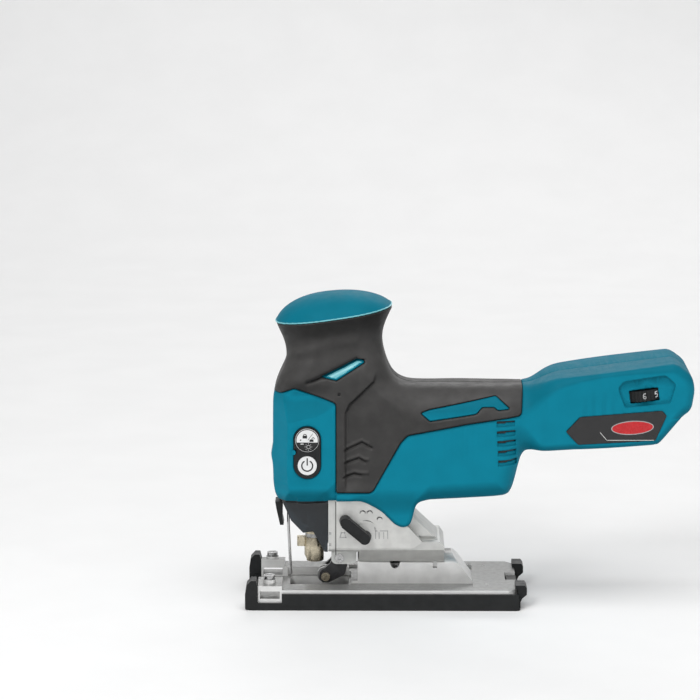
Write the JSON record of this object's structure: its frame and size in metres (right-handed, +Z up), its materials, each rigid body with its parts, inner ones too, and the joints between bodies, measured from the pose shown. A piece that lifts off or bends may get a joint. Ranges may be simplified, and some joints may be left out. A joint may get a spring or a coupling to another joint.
{
  "type": "cordless jigsaw",
  "caption": "Cordless barrel-grip jigsaw with teal housing, soft charcoal grip, tilting cast base, orbital lever and slide-on battery mount; battery and blade not fitted.",
  "frame": {"origin": "on the sole's plane, under the middle of the tool's length and width", "axes": "+X towards the battery mount, +Y to the tool's right side, +Z up from the sole"},
  "size_m": [0.2739, 0.077, 0.1926],
  "materials": {
    "cast_base": "die-cast, satin",
    "cast_metal": "die-cast, satin",
    "black_plastic": "fine spark-eroded grain",
    "grey_plastic": "matt",
    "zinc_steel": "zinc plated",
    "tool_steel": "ground",
    "black_steel": "black oxide",
    "bronze": "sintered",
    "nickel_clamp": "nickel plated, worn",
    "copper": "copper",
    "laminations": "stacked electrical steel",
    "circuit_board": "lacquered board",
    "teal_plastic": "moulded, satin",
    "charcoal_rubber": "soft overmould",
    "smoked_clear": "smoked clear plastic",
    "clear_lens": "clear plastic",
    "white_label": "printed face",
    "gloss_black": "gloss"
  },
  "bodies": {
    "base": {"base_plate": "cast_base", "base_cover": "black_plastic", "guide_rule_screws": "zinc_steel"},
    "rotor": {"motor_shaft": "tool_steel", "rotor_core": "laminations", "rotor_magnets": "tool_steel", "cooling_fan": "black_plastic"},
    "crank": {"drive_gear": "tool_steel", "gear_shaft": "tool_steel", "crank_pin": "tool_steel"},
    "crank_roller": {"crank_roller": "tool_steel"},
    "counterweight": {"counterweight": "tool_steel"},
    "plunger": {"plunger": "tool_steel", "blade_clamp_body": "nickel_clamp", "blade_clamp_spring": "zinc_steel"},
    "clamp_sleeve": {"blade_clamp_sleeve": "nickel_clamp"},
    "retainer": {"blade_retainer": "black_steel", "roller_pin": "nickel_clamp"},
    "blade_roller": {"blade_roller": "tool_steel"},
    "orbital_lever": {"orbital_lever": "black_plastic", "lever_shaft": "tool_steel"},
    "dust_cover": {"dust_cover": "smoked_clear"},
    "left_light_button": {"left_light_button": "white_label"},
    "right_light_button": {"right_light_button": "white_label"},
    "left_power_button": {"left_power_button": "white_label"},
    "right_power_button": {"right_power_button": "white_label"},
    "speed_dial": {"speed_dial": "black_plastic"},
    "housing": {"badge_plates": "gloss_black", "base_clamp_bolt": "zinc_steel", "base_clamp_shoe": "zinc_steel", "battery_mount": "black_plastic", "battery_terminals": "copper", "controller_board": "circuit_board", "controller_tray": "cast_metal", "dial_potentiometer": "black_plastic", "front_cover_screws": "zinc_steel", "gear_housing": "cast_metal", "gear_housing_front_cover": "cast_metal", "gear_shaft_bearing": "tool_steel", "housing_screws": "zinc_steel", "lamp_holder": "black_plastic", "lamp_lens": "clear_lens", "left_grip": "charcoal_rubber", "left_housing": "teal_plastic", "motor_bearings": "tool_steel", "motor_end_bracket": "black_plastic", "plunger_bushes": "bronze", "retainer_bracket": "grey_plastic", "retainer_pivot_screw": "zinc_steel", "right_grip": "charcoal_rubber", "right_housing": "teal_plastic", "sensor_board": "circuit_board", "stator_coils": "copper", "stator_core": "laminations", "switch_boards": "circuit_board", "switch_frames": "black_plastic", "terminal_block": "black_plastic", "top_cap": "teal_plastic", "wire_guard": "zinc_steel"}
  },
  "joints": [
    {"name": "bevel_tilt", "type": "hinge", "parent": "base", "child": "housing", "pos_m": [0, 0, 0.0116], "axis": [1, 0, 0], "range_deg": [-45, 45]},
    {"name": "crank_spin", "type": "hinge", "parent": "housing", "child": "crank", "pos_m": [-0.0735, 0, 0.069], "axis": [1, 0, 0], "continuous": true},
    {"name": "rotor_spin", "type": "hinge", "parent": "housing", "child": "rotor", "pos_m": [-0.0735, 0, 0.091], "axis": [1, 0, 0], "continuous": true},
    {"name": "crank_roller_spin", "type": "hinge", "parent": "crank", "child": "crank_roller", "pos_m": [-0.0766, 0, 0.056], "axis": [1, 0, 0], "continuous": true},
    {"name": "plunger_slide", "type": "slide", "parent": "housing", "child": "plunger", "axis": [0, 0, 1], "range_m": [0, 0.026]},
    {"name": "counterweight_slide", "type": "slide", "parent": "housing", "child": "counterweight", "axis": [0, 0, 1], "range_m": [-0.0081, 0]},
    {"name": "clamp_sleeve_turn", "type": "hinge", "parent": "plunger", "child": "clamp_sleeve", "pos_m": [-0.095, 0, 0.03], "axis": [0, 0, 1], "range_deg": [0, 50], "stiffness_Nm_per_rad": 0.03, "springref_deg": -8.59},
    {"name": "retainer_swing", "type": "hinge", "parent": "housing", "child": "retainer", "pos_m": [-0.0796, 0, 0.0262], "axis": [0, 1, 0], "range_deg": [0, 4]},
    {"name": "blade_roller_spin", "type": "hinge", "parent": "retainer", "child": "blade_roller", "pos_m": [-0.0882, 0, 0.0137], "axis": [0, 1, 0], "continuous": true},
    {"name": "orbital_lever_turn", "type": "hinge", "parent": "housing", "child": "orbital_lever", "pos_m": [-0.0639, -0.025, 0.0426], "axis": [0, 1, 0], "range_deg": [-38, 68]},
    {"name": "dust_cover_slide", "type": "slide", "parent": "housing", "child": "dust_cover", "axis": [0, 0, 1], "range_m": [0, 0.014]},
    {"name": "left_light_press", "type": "slide", "parent": "housing", "child": "left_light_button", "axis": [0, 1, 0], "range_m": [0, 0.0008], "stiffness_N_per_m": 2000, "springref_m": -0.0006},
    {"name": "right_light_press", "type": "slide", "parent": "housing", "child": "right_light_button", "axis": [0, -1, 0], "range_m": [0, 0.0008], "stiffness_N_per_m": 2000, "springref_m": -0.0006},
    {"name": "left_power_press", "type": "slide", "parent": "housing", "child": "left_power_button", "axis": [0, 1, 0], "range_m": [0, 0.0008], "stiffness_N_per_m": 2000, "springref_m": -0.0006},
    {"name": "right_power_press", "type": "slide", "parent": "housing", "child": "right_power_button", "axis": [0, -1, 0], "range_m": [0, 0.0008], "stiffness_N_per_m": 2000, "springref_m": -0.0006},
    {"name": "speed_dial_turn", "type": "hinge", "parent": "housing", "child": "speed_dial", "pos_m": [0.1055, -0.019, 0.1326], "axis": [-0.1305, 0, 0.9914], "range_deg": [0, 270]}
  ],
  "couplings": [
    {"joint": "crank_spin", "follows": "rotor_spin", "ratio": -0.29412},
    {"joint": "counterweight_slide", "follows": "plunger_slide", "ratio": -0.30769}
  ]
}
